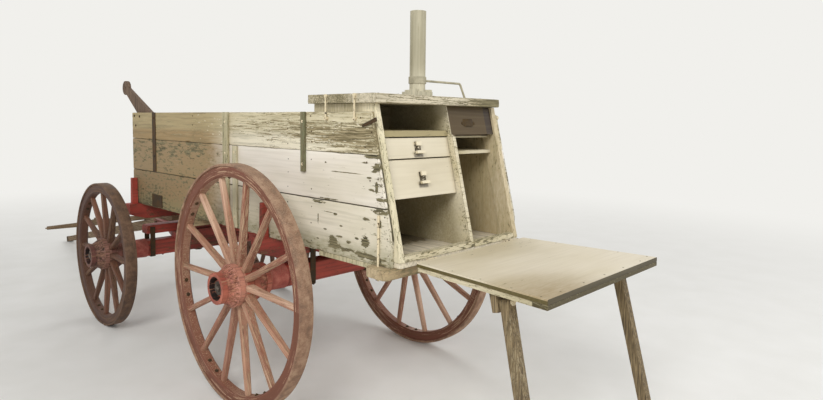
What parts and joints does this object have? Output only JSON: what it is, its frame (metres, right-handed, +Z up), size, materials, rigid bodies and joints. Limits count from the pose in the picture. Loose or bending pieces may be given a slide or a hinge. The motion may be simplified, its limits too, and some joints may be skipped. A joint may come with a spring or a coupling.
{
  "type": "chuck wagon",
  "caption": "Open wooden farm wagon with a camp kitchen box at its rear: spoked iron-tyred wheels, steered front axle, drop tongue, drawers and a hinged lid that serves as a table.",
  "frame": {"origin": "on the ground under the middle of the whole length and width, from the table's leg feet to the tongue's tip", "axes": "+X towards the tongue, +Y to the wagon's left, +Z up; ground at z = 0"},
  "size_m": [7.1934, 1.71, 2.12],
  "materials": {
    "flaking_paint": "flaking grey-green paint over weathered boards",
    "cream_paint": "worn cream paint",
    "bare_boards": "bare grey-brown boards",
    "weathered_wood": "weathered, split",
    "faded_red_wood": "faded red paint, dusty",
    "hub_red_paint": "cracked red paint with iron bands",
    "gear_red_paint": "dark red paint, worn",
    "tyre_iron": "rusty, dusty",
    "dark_iron": "dark rust",
    "pull_metal": "tarnished"
  },
  "bodies": {
    "bed": {"bed_floor": "bare_boards", "side_left": "flaking_paint", "side_right": "flaking_paint", "front_end": "flaking_paint", "dash_bracket": "flaking_paint", "cross_sills": "flaking_paint", "side_cleats": "flaking_paint", "bed_irons": "dark_iron", "cheek_left": "flaking_paint", "cheek_right": "flaking_paint", "chuck_back": "bare_boards", "shelves": "cream_paint", "top_board": "flaking_paint", "post": "weathered_wood", "top_bail": "dark_iron", "rear_axle": "gear_red_paint", "rear_skeins": "dark_iron", "rear_bolster": "gear_red_paint", "rear_hounds": "gear_red_paint", "reach": "gear_red_paint", "front_bolster": "gear_red_paint", "kingbolt": "dark_iron", "rear_clips": "dark_iron"},
    "front_gear": {"front_axle": "gear_red_paint", "front_skeins": "dark_iron", "sand_board": "gear_red_paint", "front_hounds": "gear_red_paint", "front_irons": "dark_iron"},
    "tongue": {"tongue": "weathered_wood", "tongue_irons": "dark_iron"},
    "evener": {"evener": "weathered_wood"},
    "singletree_left": {"singletree_left": "weathered_wood"},
    "singletree_right": {"singletree_right": "weathered_wood"},
    "lid": {"lid": "cream_paint", "lid_battens": "weathered_wood", "leg_blocks": "weathered_wood", "lid_irons": "dark_iron"},
    "leg_left": {"leg_left": "weathered_wood"},
    "leg_right": {"leg_right": "weathered_wood"},
    "drawer_upper": {"drawer_upper": "cream_paint", "pull_upper": "pull_metal"},
    "drawer_lower": {"drawer_lower": "cream_paint", "pull_lower": "pull_metal"},
    "wheel_rear_left": {"rear_left_tyre": "tyre_iron", "rear_left_rim": "faded_red_wood", "rear_left_hub": "hub_red_paint"},
    "wheel_rear_right": {"rear_right_tyre": "tyre_iron", "rear_right_rim": "faded_red_wood", "rear_right_hub": "hub_red_paint"},
    "wheel_front_left": {"front_left_tyre": "tyre_iron", "front_left_rim": "faded_red_wood", "front_left_hub": "hub_red_paint"},
    "wheel_front_right": {"front_right_tyre": "tyre_iron", "front_right_rim": "faded_red_wood", "front_right_hub": "hub_red_paint"}
  },
  "joints": [
    {"name": "steering", "type": "hinge", "parent": "bed", "child": "front_gear", "pos_m": [0.10099, 0, 0.7151], "axis": [0, 0, 1], "range_deg": [-20, 20]},
    {"name": "rear_left_wheel", "type": "hinge", "parent": "bed", "child": "wheel_rear_left", "pos_m": [-1.74901, 0.695, 0.6605], "axis": [0, 1, 0], "continuous": true},
    {"name": "rear_right_wheel", "type": "hinge", "parent": "bed", "child": "wheel_rear_right", "pos_m": [-1.74901, -0.695, 0.6605], "axis": [0, 1, 0], "continuous": true},
    {"name": "front_left_wheel", "type": "hinge", "parent": "front_gear", "child": "wheel_front_left", "pos_m": [0.10099, 0.74, 0.5335], "axis": [0, 1, 0], "continuous": true},
    {"name": "front_right_wheel", "type": "hinge", "parent": "front_gear", "child": "wheel_front_right", "pos_m": [0.10099, -0.74, 0.5335], "axis": [0, 1, 0], "continuous": true},
    {"name": "tongue_lift", "type": "hinge", "parent": "front_gear", "child": "tongue", "pos_m": [0.70099, 0, 0.621], "axis": [0, -1, 0], "range_deg": [0, 25]},
    {"name": "evener_swing", "type": "hinge", "parent": "tongue", "child": "evener", "pos_m": [1.10489, 0, 0.59943], "axis": [0.2009, 0, 0.9796], "range_deg": [-12, 12]},
    {"name": "singletree_left_swing", "type": "hinge", "parent": "evener", "child": "singletree_left", "pos_m": [1.11252, 0.48, 0.63665], "axis": [0.2009, 0, 0.9796], "range_deg": [-10, 10]},
    {"name": "singletree_right_swing", "type": "hinge", "parent": "evener", "child": "singletree_right", "pos_m": [1.11252, -0.48, 0.63665], "axis": [0.2009, 0, 0.9796], "range_deg": [-10, 10]},
    {"name": "lid_hinge", "type": "hinge", "parent": "bed", "child": "lid", "pos_m": [-2.80172, -0.045, 0.911], "axis": [0, -1, 0], "range_deg": [-104.04, 0]},
    {"name": "leg_left_fold", "type": "hinge", "parent": "lid", "child": "leg_left", "pos_m": [-3.29892, 0.37, 0.844], "axis": [0.9724, 0, -0.2334], "range_deg": [-92, 0]},
    {"name": "leg_right_fold", "type": "hinge", "parent": "lid", "child": "leg_right", "pos_m": [-3.37092, -0.46, 0.844], "axis": [-0.9724, 0, 0.2334], "range_deg": [-92, 0]},
    {"name": "drawer_upper_slide", "type": "slide", "parent": "bed", "child": "drawer_upper", "axis": [-1, 0, 0], "range_m": [0, 0.3]},
    {"name": "drawer_lower_slide", "type": "slide", "parent": "bed", "child": "drawer_lower", "axis": [-1, 0, 0], "range_m": [0, 0.3]}
  ]
}
